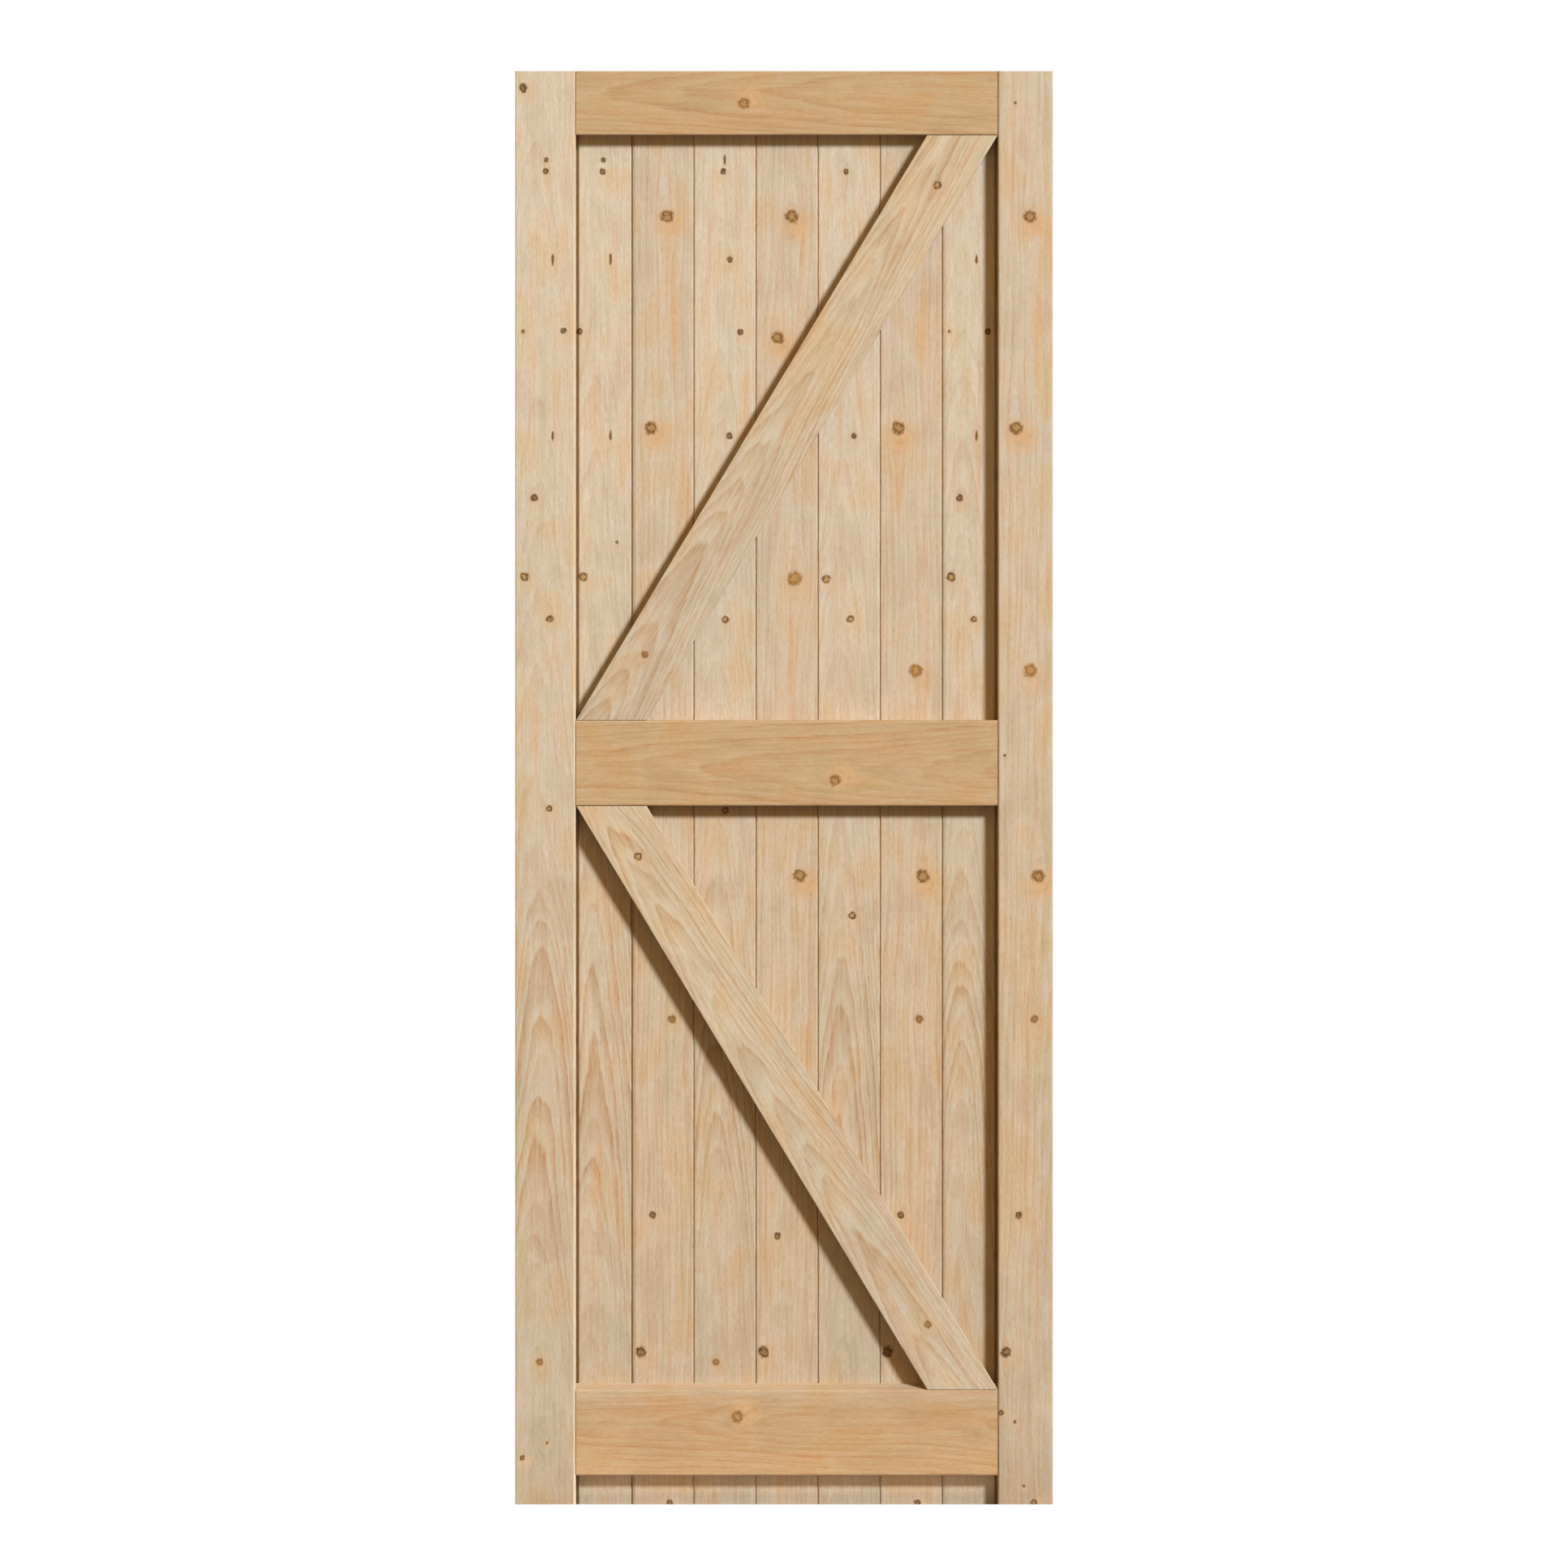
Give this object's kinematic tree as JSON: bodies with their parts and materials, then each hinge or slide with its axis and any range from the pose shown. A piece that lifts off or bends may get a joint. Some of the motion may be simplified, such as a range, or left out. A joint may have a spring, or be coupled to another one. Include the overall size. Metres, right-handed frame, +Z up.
{
  "type": "barn door leaf",
  "caption": "Framed, ledged and braced softwood door leaf: stiles and rails round a panel of tongued and grooved boards, stiffened by two slanting braces.",
  "frame": {"origin": "middle of the leaf's foot: half way across its width and its thickness, at its lowest edge", "axes": "+Z up the leaf, +X to the right when looking at the framed face, +Y through the leaf from the framed face to the boarded outer face"},
  "size_m": [0.762, 0.044, 2.032],
  "materials": {
    "pine_stile": "planed, unfinished",
    "pine_rail": "planed, unfinished",
    "pine_brace": "planed, unfinished",
    "pine_board": "planed, unfinished",
    "pine_wedge": "sawn, trimmed flush",
    "nail_steel": "bright drawn wire"
  },
  "bodies": {
    "root": {"left_stile": "pine_stile", "right_stile": "pine_stile", "top_rail": "pine_rail", "middle_rail": "pine_rail", "bottom_rail": "pine_rail", "upper_brace": "pine_brace", "lower_brace": "pine_brace", "board_1": "pine_board", "board_2": "pine_board", "board_3": "pine_board", "board_4": "pine_board", "board_5": "pine_board", "board_6": "pine_board", "board_7": "pine_board", "top_rail_wedges": "pine_wedge", "middle_rail_wedges": "pine_wedge", "bottom_rail_wedges": "pine_wedge", "middle_rail_nails": "nail_steel", "bottom_rail_nails": "nail_steel", "upper_brace_nails": "nail_steel", "lower_brace_nails": "nail_steel"}
  },
  "joints": []
}
